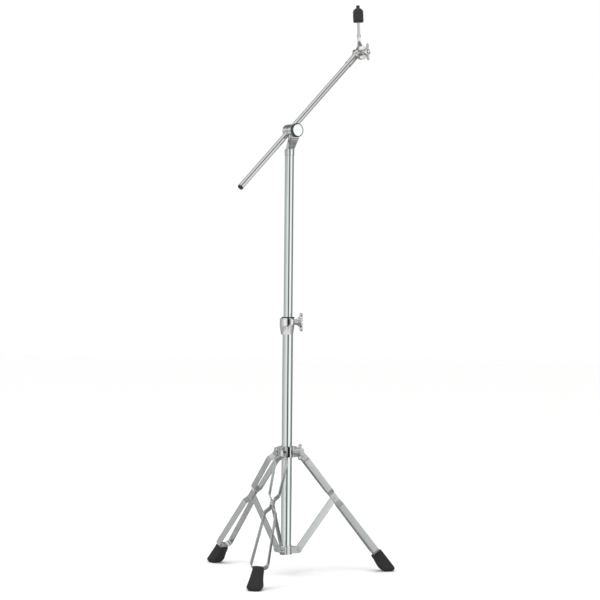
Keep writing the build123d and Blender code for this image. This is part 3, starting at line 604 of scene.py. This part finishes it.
class STAND_OT_legs(bpy.types.Operator):
    """Bend the three hairpin legs and lay the three struts"""

    bl_idname = "stand.legs"
    bl_label = "Legs and struts"

    def execute(self, context):
        sizes = context.scene.stand_tripod
        half = sizes.bar_thickness / 2
        lug_room, strut_room = 2.25 * MM, 1.75 * MM
        at_lug, at_knee = lug_room + half, strut_room + half
        knee = sizes.knee_distance
        # one side of the hairpin: distance along the leg from its top pin, and half the gap to the other side
        side = [
            (-7 * MM, at_lug),
            (4.2 * MM, at_lug),
            (14 * MM, 13.3 * MM),
            (knee - 20.5 * MM, 10.6 * MM),
            (knee - 10.5 * MM, at_knee),
            (knee + 10.5 * MM, at_knee),
            (knee + 20.5 * MM, 11.8 * MM),
            (sizes.leg_length - half, 18.6 * MM),
        ]
        bends = [r * MM for r in (0, 2, 4, 4, 3, 3, 4, 9)]
        route = side + [(x, -y) for x, y in reversed(side)]
        flat_route = rounded_path(route, bends + bends[::-1], 10)
        for name in SIDES:
            out = leg_outward(name)
            down = out * math.sin(sizes.leg_angle) - UP * math.cos(sizes.leg_angle)
            normal = out * math.cos(sizes.leg_angle) + UP * math.sin(sizes.leg_angle)
            sideways = np.cross(UP, out)
            top = joint_place(f"leg_{name}_knee") - down * knee
            path = top + flat_route[:, :1] * down + flat_route[:, 1:] * sideways
            piece = f"leg_{name}_hairpin"
            mesh = flat_bar(piece, path, normal, sizes.bar_width, sizes.bar_thickness, sizes.bar_edge)
            place(even_faces(new_object(piece, mesh)), metal("bar_plate"), f"leg_{name}")
            foot, knee_place = strut_foot(name), joint_place(f"leg_{name}_knee")
            along = unit(knee_place - foot)
            reach = sizes.strut_width / 2
            ends = np.linspace(0, 1, 24)[:, None]
            path = (foot - along * reach) * (1 - ends) + (knee_place + along * reach) * ends
            across = np.cross(sideways, along)
            piece = f"strut_{name}_bar"
            mesh = flat_bar(piece, path, across, sizes.strut_width, sizes.strut_thickness, sizes.bar_edge)
            # the struts take the lighter copy of the bar plating: painted light
            place(even_faces(new_object(piece, mesh)), metal("strut_plate_lit"), f"strut_{name}")
        return {"FINISHED"}


class STAND_OT_feet(bpy.types.Operator):
    """Mould the three rubber feet"""

    bl_idname = "stand.feet"
    bl_label = "Rubber feet"

    def execute(self, context):
        # inner edge, outer edge and half width of each section, in millimetres; an edge is its distance
        # outwards from the hairpin's end and its height above the floor
        sections = np.array(
            [
                (-6.5, 36.3, 5.7, 45.9, 7.5),
                (-9.2, 33.7, 8.4, 47.6, 10.1),
                (-9.4, 32.0, 10.3, 47.2, 10.8),
                (-4.8, 25.8, 17.0, 39.0, 11.3),
                (-0.6, 18.9, 25.6, 28.0, 12.5),
                (3.2, 12.6, 34.2, 17.0, 14.3),
                (6.0, 8.6, 39.8, 9.8, 15.7),
                (8.8, 5.6, 41.2, 6.2, 15.6),
                (12.2, 2.5, 39.4, 2.7, 14.0),
                (16.8, 0.05, 35.0, 0.05, 11.4),
                (24.0, 0.0, 27.0, 0.0, 1.0),
            ]
        )
        t = np.linspace(0, 1, len(sections))
        fine = np.linspace(0, 1, 61)
        drawn = np.stack([np.interp(fine, t, column) for column in sections.T], axis=1)
        body = np.stack([softened(column, (1, 3, 4, 3, 1)) for column in drawn.T], axis=1)
        sole, heights = slice(-7, None), (1, 3)
        for k in heights:
            body[sole, k] = np.minimum(body[sole, k], drawn[sole, k])
        body *= MM
        angle = np.linspace(0, 2 * math.pi, 72, endpoint=False)
        along, beside = squarish(np.cos(angle), 0.55), squarish(np.sin(angle), 0.55)
        sizes = context.scene.stand_tripod
        below_knee = (sizes.leg_length - sizes.knee_distance) * math.sin(sizes.leg_angle)
        for name in SIDES:
            out = leg_outward(name)
            sideways = np.cross(UP, out)
            end = joint_place(f"leg_{name}_knee") + below_knee * out
            end[2] = 0.0
            inner = end + body[:, :1] * out + body[:, 1:2] * UP
            outer = end + body[:, 2:3] * out + body[:, 3:4] * UP
            middle, reach = (inner + outer) / 2, (outer - inner) / 2
            grid = (
                middle[:, None, :]
                + along[None, :, None] * reach[:, None, :]
                + (beside[None, :] * body[:, 4:5])[..., None] * sideways
            )
            grid[..., 2] = np.maximum(grid[..., 2], 0.0)
            piece = f"foot_{name}_rubber"
            mesh = mesh_from_grid(piece, grid, smooth_angle=60)
            place(new_object(piece, mesh), metal("foot_rubber"), f"foot_{name}")
        return {"FINISHED"}


def wing_meshes(name, seat, axis, span_dir, span, sizes, shank, bore=0.0):
    """Hub, two blades and screw of a winged casting, ready to be fused."""
    half, height = span / 2, sizes.height
    hub = sizes.hub_radius
    thick = sizes.blade_thickness / 2
    # half outline of the hub: radius, and height above the seat
    points = [
        (bore, 0.0),
        (hub + 0.3 * MM, 0.0),
        (hub + 0.3 * MM, 3.5 * MM),
        (hub + 0.8 * MM, 6 * MM),
        (hub + 1.9 * MM, height - 12 * MM),
        (hub + 2.2 * MM, height - 5.2 * MM),
        (bore, height - 4.2 * MM),
    ]
    meshes = []
    if bore:
        ring = rounded_path(points, 0.8 * MM, 5, closed=True)
        meshes.append(lathe(name, ring, seat, axis, span_dir, 48, ring=True))
    else:
        profile = rounded_path(points, [0, 0.8 * MM, 2 * MM, 2 * MM, 2 * MM, 1.6 * MM, 0])
        meshes.append(lathe(name, profile, seat, axis, span_dir, 48))
    if shank:
        r, inside = 3 * MM, 1 * MM
        rod = [(0.0, -shank), (r, -shank), (r, inside), (0.0, inside)]
        meshes.append(lathe(name, rounded_path(rod, [0, 0.5 * MM, 0, 0]), seat, axis, span_dir, 32))
    # distance from the hub's middle, then middle, half height and half thickness of the section there
    blade = [
        (max(bore + 0.8 * MM, 1.5 * MM), height - 7.4 * MM, 6.4 * MM, thick),
        (hub, height - 7.2 * MM, 6.2 * MM, thick * 0.95),
        (half * 0.45, height - 6.2 * MM, 4.9 * MM, thick * 0.8),
        (half * 0.62, height - 5.4 * MM, 4.3 * MM, thick * 0.76),
        (half * 0.8, height - 4.9 * MM, 4.0 * MM, thick * 0.8),
        (half * 0.92, height - 4.8 * MM, 3.2 * MM, thick * 0.72),
        (half, height - 4.9 * MM, 0.6 * MM, thick * 0.3),
    ]
    for way in (1, -1):
        meshes.append(blade_mesh(name, seat, span_dir * way, axis, blade))
    return meshes


class STAND_OT_wings(bpy.types.Operator):
    """Cast the two wing screws and the wing nut of the tilter"""

    bl_idname = "stand.wings"
    bl_label = "Wing screws and wing nut"

    def execute(self, context):
        sizes = context.scene.stand_wings
        skin, rounds = 0.35 * MM, 6
        lean = math.radians(6)
        for node, joint, span, seat_gap, shank, tilt in (
            ("height_wing_screw", "height_wing_turn", 40 * MM, 10.55 * MM, 19.1 * MM, -lean),
            ("tripod_wing_screw", "tripod_wing_turn", 36 * MM, 8.45 * MM, 15.4 * MM, lean),
        ):
            axis = joint_axis(joint)
            outward = np.cross(axis, UP)
            span_dir = UP * math.cos(lean) + outward * math.sin(tilt)
            seat = joint_place(joint) + axis * seat_gap
            meshes = wing_meshes(node, seat, axis, unit(span_dir), span, sizes, shank)
            piece = joined(node.replace("_screw", "_casting"), meshes)
            place(fuse(piece, skin, rounds), metal("cast_plate"), node)
            # the screw behind the casting is painted near black: painted shade in the slot between the ears
            piece.data.materials.append(metal("shank_painted_shade"))
            middles = np.empty(len(piece.data.polygons) * 3)
            piece.data.polygons.foreach_get("center", middles)
            behind = (middles.reshape(-1, 3) - seat) @ axis < -0.4 * MM
            piece.data.polygons.foreach_set("material_index", behind.astype(np.int32))
        seat = TILTER + ACROSS * span_across("tilter_wing_nut", TILTER)[0]
        boom_out = np.cross(UP, ACROSS)
        turn = math.radians(5)
        span_dir = UP * math.cos(turn) - boom_out * math.sin(turn)
        span, bore = 37 * MM, 3.1 * MM
        meshes = wing_meshes("tilter_wing_nut", seat, ACROSS, unit(span_dir), span, sizes, 0.0, bore=bore)
        piece = joined("tilter_wing_casting", meshes)
        place(fuse(piece, skin, rounds), metal("cast_plate"), "tilter_wing_nut")
        return {"FINISHED"}


def span_across(node, start):
    """Least and greatest distance of a node along the tilt axis, from a point."""
    points = np.array([v.co for v in frame["nodes"][node].data.vertices])
    across = (points - start) @ ACROSS
    return float(across.min()), float(across.max())


class STAND_OT_castings(bpy.types.Operator):
    """Round the edges of the collars, clamp, bracket, holder, end fitting and tilter"""

    bl_idname = "stand.castings"
    bl_label = "Castings"

    def execute(self, context):
        for node, edge, coat in (
            ("tripod_collar", 0.8, "cast_plate"),
            ("bottom_collar", 0.4, "cast_plate"),
            # the clamp and the tilter head get the lighter copy of the casting colour: painted light
            ("height_clamp", 0.9, "clamp_plate_lit"),
            ("boom_bracket", 0.6, "cast_plate"),
            ("boom_holder", 0.4, "cast_plate"),
            ("boom_end_fitting", 0.4, "cast_plate"),
            ("tilter_head", 0.5, "clamp_plate_lit"),
        ):
            eased_copy(node, f"{node}_cast", metal(coat), edge * MM)
        return {"FINISHED"}


class STAND_OT_slot_shade(bpy.types.Operator):
    """Put a thin dark sheet in the tripod collar's slot, round the base tube, as painted shade for the slot"""

    bl_idname = "stand.liner"
    bl_label = "Collar slot shade"

    def execute(self, context):
        bolt = joint_place("tripod_wing_turn")
        out = unit(np.array([bolt[0], bolt[1], 0.0]))
        inner, outer, half_width, inset = 11.13 * MM, 11.9 * MM, 2.9 * MM, 0.4 * MM
        bottom, top = low("tripod_collar")[2] + inset, high("tripod_collar")[2] - inset
        turn = np.linspace(-1, 1, 13) * math.asin(half_width / outer)
        around = np.concatenate([turn, turn[::-1]])
        radius = np.repeat([outer, inner], len(turn))
        ring = swing(radius, around, out, np.cross(UP, out))
        grid = ring[None, :, :] + np.linspace(bottom, top, 9)[:, None, None] * UP
        obj = new_object("collar_slot_shade", mesh_from_grid("collar_slot_shade", grid, smooth_angle=40))
        # the dark nylon colour on this sheet stands for the slot's shade: painted shade
        obj.data.materials.append(metal("bush_nylon"))
        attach(obj, body_holding("tripod_collar"))
        return {"FINISHED"}


class STAND_OT_knob(bpy.types.Operator):
    """Turn the boom clamp's knob: a knurled rim painted dark as painted shade, round a bright flat cap"""

    bl_idname = "stand.knob"
    bl_label = "Clamp knob"

    def execute(self, context):
        far, near = span_across("boom_clamp_knob", TILT)
        sizes = context.scene.stand_knob
        r, cap = sizes.radius, sizes.cap_radius
        outline = [
            (0, far),
            (r - 1.5 * MM, far),
            (r, far + 1.0 * MM),
            *((r, height) for height in np.linspace(far + 1.4 * MM, near - 2.6 * MM, 6)),
            (r, near - 2.0 * MM),
            (r - 0.9 * MM, near - 0.2 * MM),
            (cap + 0.3 * MM, near - 0.2 * MM),
            (cap + 0.1 * MM, near - 1.2 * MM),
            (0, near - 1.2 * MM),
        ]
        bends = [0, 0.4, 0.5, 0, 0, 0, 0, 0, 0, 0.8, 1.0, 0.4, 0.2, 0]
        profile = rounded_path(outline, [bend * MM for bend in bends])

        def knurl(angle, height):
            """Radius falls by 4 percent in each of 40 grooves, between the two ends of the rim."""
            inside = np.clip((height - far - 0.6 * MM) / (0.8 * MM), 0, 1)
            inside = inside * np.clip((near - 1.6 * MM - height) / (0.8 * MM), 0, 1)
            return 1 - 0.04 * inside * np.abs(np.cos(angle * 20)) ** 3

        mesh = lathe("knob_rim", profile, TILT, ACROSS, UP, 320, ripple=knurl, smooth_angle=40)
        place(new_object("knob_rim", mesh), metal("rim_painted_shade"), "boom_clamp_knob")
        crown = [(0, near - 1.6 * MM), (cap, near - 1.6 * MM), (cap, near - 0.5 * MM), (0, near - 0.1 * MM)]
        profile = rounded_path(crown, [0, 0.1 * MM, 0.5 * MM, 0], 4)
        mesh = lathe("knob_cap", profile, TILT, ACROSS, UP, 160)
        place(even_faces(new_object("knob_cap", mesh)), metal("cap_plate"), "boom_clamp_knob")
        return {"FINISHED"}


class STAND_OT_neck_ribs(bpy.types.Operator):
    """Cast the grip ribs on the front of the bracket's neck"""

    bl_idname = "stand.neck_ribs"
    bl_label = "Neck ribs"

    def execute(self, context):
        boom_out = np.cross(UP, ACROSS)
        tube_top = high("upper_tube")[2]
        bottom, top = tube_top + 12.2 * MM, TILT[2] - 16.0 * MM
        # front face of the neck: distance along the tilt axis and half width, at its two ends
        front_low, front_high = 8.2 * MM, 19.6 * MM
        half_low, half_high = 7.3 * MM, 11.6 * MM
        share = np.linspace(0, 1, 141)[:, None]
        level = bottom + (top - bottom) * share
        front = front_low + (front_high - front_low) * share
        half = half_low + (half_high - half_low) * share
        # relief: depth * |sin(pi * ribs * share)|, faded at the sides and ends, less a quarter round at each
        # side of radius * (1 - sqrt(1 - t * t)), with t from 0 to 1 across it
        ribs, depth, side_radius, thickness, fade_share = 8, 0.75 * MM, 3 * MM, 4 * MM, 0.03
        x = np.linspace(-1, 1, 41)[None, :]
        t = np.clip((np.abs(x) * half - half) / side_radius + 1, 0, 1)
        fade = (1 - t) * np.clip(np.minimum(share, 1 - share) / fade_share, 0, 1)
        relief = depth * np.abs(np.sin(share * ribs * math.pi)) * fade + 0.1 * MM
        relief = relief - side_radius * (1 - np.sqrt(1 - t * t))
        faces = (front + relief, np.broadcast_to(front - thickness, relief.shape)[:, ::-1])
        runs = (x * half, (x * half)[:, ::-1])
        grid = np.concatenate(
            [
                run[..., None] * boom_out + face[..., None] * ACROSS + level[..., None] * UP
                for run, face in zip(runs, faces)
            ],
            axis=1,
        )
        obj = new_object("neck_ribs", mesh_from_grid("neck_ribs", grid, smooth_angle=60))
        # the ribs take a darker copy of the casting colour: painted shade
        obj.data.materials.append(metal("rib_painted_shade"))
        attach(obj, body_holding("boom_bracket"))
        return {"FINISHED"}


class STAND_OT_cymbal_top(bpy.types.Operator):
    """Build the cymbal rod with its thread, the seat, the pad and the black nut"""

    bl_idname = "stand.cymbal_top"
    bl_label = "Cymbal rod and nut"

    def execute(self, context):
        # outline of the moulded nut in millimetres, open below for the rod: (radius, height), and bend radius
        outline = [(3.1, 0), (11.2, 0), (11.5, 1.2), (11.5, 20.5), (10.4, 24), (7.2, 27)]
        outline += [(4, 28.6), (3.7, 31.5), (4.2, 34.5), (0, 34.5), (0, 26), (3.1, 26)]
        nut = rounded_path(outline, [0, 0.5, 1.5, 4, 5, 4, 2, 2, 0.9, 0, 0, 0])
        mesh = lathe("cymbal_nut_moulded", nut * MM, ROD_LINE, CYMBAL_UP, ACROSS, 120, ring=True)
        place(new_object("cymbal_nut_moulded", mesh), metal("nut_plastic"), "cymbal_nut")
        eased_copy("nut_pad", "nut_pad_disc", metal("foot_rubber"), 0.4 * MM)
        eased_copy("cymbal_seat", "cymbal_seat_collar", metal("screw_plate"), 0.3 * MM)
        points = np.array([v.co for v in frame["nodes"]["cymbal_rod"].data.vertices])
        along = (points - ROD_LINE) @ CYMBAL_UP
        start, end = float(along.min()), float(along.max())
        rod, tip, pitch, depth, chamfer, plain_below = 3 * MM, 2.4 * MM, 1 * MM, 0.35 * MM, 0.6 * MM, -3 * MM
        rows = np.arange(start, end - chamfer, pitch / 6)
        angle = np.linspace(0, 2 * math.pi, 48, endpoint=False)
        # thread: the radius falls by its depth along a triangle wave of height / pitch - angle / turn
        phase = (rows[:, None] / pitch - angle[None, :] / (2 * math.pi)) % 1.0
        radius = rod - depth * np.abs(phase * 2 - 1)
        radius[rows < plain_below] = rod
        u, v, w = frame_about(CYMBAL_UP, ACROSS)
        radius = np.concatenate([radius, np.full((1, len(angle)), tip)])
        rows = np.append(rows, end)
        grid = ROD_LINE + swing(radius, angle[None, :], u, v) + rows[:, None, None] * w
        mesh = mesh_from_grid("cymbal_rod_threaded", grid, smooth_angle=50)
        place(new_object("cymbal_rod_threaded", mesh), metal("screw_plate"), "cymbal_rod")
        return {"FINISHED"}


class STAND_OT_hardware(bpy.types.Operator):
    """Round the edges of the pins, screws, washers, bush and plugs"""

    bl_idname = "stand.hardware"
    bl_label = "Pins, screws and plugs"

    def execute(self, context):
        kinds = ("leg_top_pin", "knee_pin", "strut_foot_pin", "foot_screw")
        plated = [f"{kind}_{side}" for kind in kinds for side in SIDES]
        plated += ["bracket_pin", "eye_bolt", "knob_washer", "tilter_bolt", "tilter_washer"]
        for node in plated:
            eased_copy(node, f"{node}_eased", metal("screw_plate"), 0.2 * MM)
        for node in ("height_clamp_bush", "upper_tube_guide", "boom_rod_plug"):
            eased_copy(node, f"{node}_moulded", metal("bush_nylon"), 0.3 * MM)
        return {"FINISHED"}


# ---------------------------------------------------------------- stage
def area_light(name, place_at, aim, size, power):
    """Softbox that faces its aim."""
    data = bpy.data.lights.new(name, "AREA")
    data.shape = "RECTANGLE"
    data.size, data.size_y = size
    data.energy = power
    lamp = new_object(name, data)
    lamp.location = place_at
    lamp.rotation_euler = look_angles(np.array(place_at), np.array(aim))
    lamp.visible_glossy = False


def look_angles(start, target):
    """Turn that points an object's -Z from start to target, with its Y upwards."""
    d = unit(target - start)
    return (math.acos(-d[2]), 0.0, math.atan2(d[0], -d[1]) + math.pi)


class STAND_OT_stage(bpy.types.Operator):
    """Set the camera, the pale floor and the soft studio light"""

    bl_idname = "stand.stage"
    bl_label = "Camera, floor and light"

    def execute(self, context):
        settings = context.scene.stand_stage
        data = bpy.data.cameras.new("camera")
        data.sensor_width = 36
        data.lens = settings.lens
        camera = new_object("camera", data)
        across, eye_height, roll = 0.0255, 0.5906, math.radians(0.518)
        camera.location = (across, -settings.camera_distance, eye_height)
        camera.rotation_euler = (math.pi / 2, -roll, 0)
        context.scene.camera = camera
        context.scene.view_settings.view_transform = "Standard"

        # round floor, a hair below the feet
        rows, cols = 4, 96
        angle = np.linspace(0, 2 * math.pi, cols, endpoint=False)
        grid = swing(np.array([[0.0], [2.0], [6.0], [14.0]]), angle[None, :], np.eye(3)[0], np.eye(3)[1])
        grid[..., 2] = -0.2 * MM
        mesh = bpy.data.meshes.new("floor")
        i, j = np.arange(rows - 1)[:, None], np.arange(cols)[None, :]
        j2 = (j + 1) % cols
        quads = np.stack([i * cols + j, (i + 1) * cols + j, (i + 1) * cols + j2, i * cols + j2], axis=-1)
        mesh.from_pydata(grid.reshape(-1, 3).tolist(), [], quads.reshape(-1, 4).tolist())
        tidy_mesh(mesh, 30)
        floor = new_object("floor", mesh)
        material = bpy.data.materials.new("floor_pale")
        material.use_nodes = True
        nodes = material.node_tree.nodes
        shader = nodes["Principled BSDF"]
        shader.inputs["Roughness"].default_value = 0.9
        shader.inputs["Specular IOR Level"].default_value = 0.1
        coords, noise, ramp = (
            nodes.new(kind) for kind in ("ShaderNodeTexCoord", "ShaderNodeTexNoise", "ShaderNodeValToRGB")
        )
        noise.inputs["Scale"].default_value = 1.2
        ramp.color_ramp.elements[0].color = (*shade(settings.floor_colour, 0.99), 1)
        ramp.color_ramp.elements[1].color = (*settings.floor_colour, 1)
        connect(
            material.node_tree,
            (coords, "Object", noise, "Vector"),
            (noise, "Fac", ramp, "Fac"),
            (ramp, "Color", shader, "Base Color"),
        )
        floor.data.materials.append(material)
        floor.visible_glossy = False

        studio_world(context.scene)
        aim = (0, 0, 0.6)
        area_light("key", (-2.6, -2.2, 2.2), aim, (1.6, 2.4), settings.key_power)
        area_light("fill", (2.8, -1.6, 1.6), aim, (1.2, 2.2), settings.fill_power)
        sky = bpy.data.lights.new("overhead", "SUN")
        sky.energy = settings.overhead
        sky.angle = math.radians(70)
        lamp = new_object("overhead", sky)
        lamp.rotation_euler = (math.radians(12), math.radians(-10), 0)
        lamp.visible_glossy = False
        return {"FINISHED"}


def studio_world(scene):
    """Studio walls seen in the plating: the brightness follows the level direction.

    turn = atan2(y, x) / 2 pi is looked up in a colour ramp; bands by the upward share (z + 1) / 2 replace it
    above and below the level of the walls."""
    world = bpy.data.worlds.new("studio")
    scene.world = world
    world.use_nodes = True
    nodes = world.node_tree.nodes
    coords = nodes.new("ShaderNodeTexCoord")
    split = nodes.new("ShaderNodeSeparateXYZ")
    turn = nodes.new("ShaderNodeMath")
    turn.operation = "ARCTAN2"
    share = nodes.new("ShaderNodeMapRange")
    share.inputs["From Min"].default_value = -math.pi
    share.inputs["From Max"].default_value = math.pi
    height = nodes.new("ShaderNodeMapRange")
    height.inputs["From Min"].default_value = -1.0
    mixed, final = nodes.new("ShaderNodeMix"), nodes.new("ShaderNodeMix")
    mixed.data_type = final.data_type = "RGBA"
    final.inputs["B"].default_value = (1.0, 1.0, 1.0, 1)
    seen = nodes.new("ShaderNodeLightPath")
    level, factor, plain = (nodes.new("ShaderNodeValToRGB") for _ in range(3))
    level.color_ramp.interpolation = "EASE"
    # share of a full turn from -X through -Y (0.25), +X (0.5) and +Y (0.75), and the brightness there
    walls = (
        (0.000, 0.62), (0.040, 0.64), (0.111, 0.80), (0.153, 1.00), (0.208, 0.88), (0.238, 0.50),
        (0.254, 0.05), (0.288, 0.05), (0.308, 0.40), (0.326, 0.62), (0.340, 0.90), (0.375, 1.20),
        (0.440, 1.20), (0.478, 0.60), (0.520, 0.22), (0.611, 0.30), (0.680, 0.12), (0.800, 0.12),
        (0.870, 0.30), (0.935, 0.70), (0.985, 0.36), (0.996, 0.40),
    )
    # share of the way from straight down to straight up, how far the band replaces the walls, its brightness
    bands = (
        (0.00, 1, 0.28), (0.20, 1, 0.26), (0.30, 1, 0.22), (0.325, 1, 0.88), (0.372, 1, 0.80),
        (0.39, 1, 0.36), (0.415, 1, 0.34), (0.426, 0, 0.50), (0.59, 0, 0.50), (0.605, 1, 1.12),
        (0.64, 1, 0.96), (0.68, 1, 0.68), (0.73, 1, 0.40), (0.77, 1, 0.22), (0.875, 1, 0.20),
        (0.905, 1, 0.40), (0.93, 1, 0.72), (0.955, 1, 0.92), (0.975, 1, 0.80), (1.00, 1, 0.74),
    )
    fill_ramp(level, [(where, bright * 0.97, bright, bright * 0.99) for where, bright in walls])
    fill_ramp(factor, [(where, mix, mix, mix) for where, mix, _ in bands])
    fill_ramp(plain, [(where, bright, bright, bright) for where, _, bright in bands])
    connect(
        world.node_tree,
        (coords, "Generated", split, "Vector"),
        (split, "Y", turn, 0),
        (split, "X", turn, 1),
        (turn, "Value", share, "Value"),
        (share, "Result", level, "Fac"),
        (split, "Z", height, "Value"),
        (height, "Result", factor, "Fac"),
        (factor, "Color", mixed, "Factor"),
        (height, "Result", plain, "Fac"),
        (plain, "Color", mixed, "B"),
        (level, "Color", mixed, "A"),
        (seen, "Is Camera Ray", final, "Factor"),
        (mixed, "Result", final, "A"),
        (final, "Result", nodes["Background"], "Color"),
    )


# ---------------------------------------------------------------- add-on
class STAND_PT_panel(bpy.types.Panel):
    """Lists the steps and sizes of the stand"""

    bl_idname = "STAND_PT_panel"
    bl_label = "Cymbal boom stand"
    bl_space_type = "VIEW_3D"
    bl_region_type = "UI"
    bl_category = "Stand"

    def draw(self, context):
        layout = self.layout
        for operator in OPERATORS:
            layout.operator(operator.bl_idname)
        for name in GROUPS:
            group = getattr(context.scene, name)
            for key in group.bl_rna.properties.keys():
                if key not in ("rna_type", "name"):
                    layout.prop(group, key)


OPERATORS = (
    STAND_OT_finishes,
    STAND_OT_stage,
    STAND_OT_tubes,
    STAND_OT_legs,
    STAND_OT_feet,
    STAND_OT_wings,
    STAND_OT_castings,
    STAND_OT_slot_shade,
    STAND_OT_knob,
    STAND_OT_neck_ribs,
    STAND_OT_cymbal_top,
    STAND_OT_hardware,
)
GROUPS = {
    "stand_tripod": TripodSizes,
    "stand_wings": WingSizes,
    "stand_knob": KnobSizes,
    "stand_finish": StandFinish,
    "stand_stage": StageSettings,
}
CLASSES = (*GROUPS.values(), *OPERATORS, STAND_PT_panel)


def register():
    for item in CLASSES:
        bpy.utils.register_class(item)
    for name, group in GROUPS.items():
        setattr(bpy.types.Scene, name, PointerProperty(type=group))


def unregister():
    for name in GROUPS:
        delattr(bpy.types.Scene, name)
    for item in reversed(CLASSES):
        bpy.utils.unregister_class(item)


def main():
    register()
    for operator in OPERATORS:
        getattr(bpy.ops.stand, operator.bl_idname.split(".")[1])()


if __name__ == "__main__":
    main()
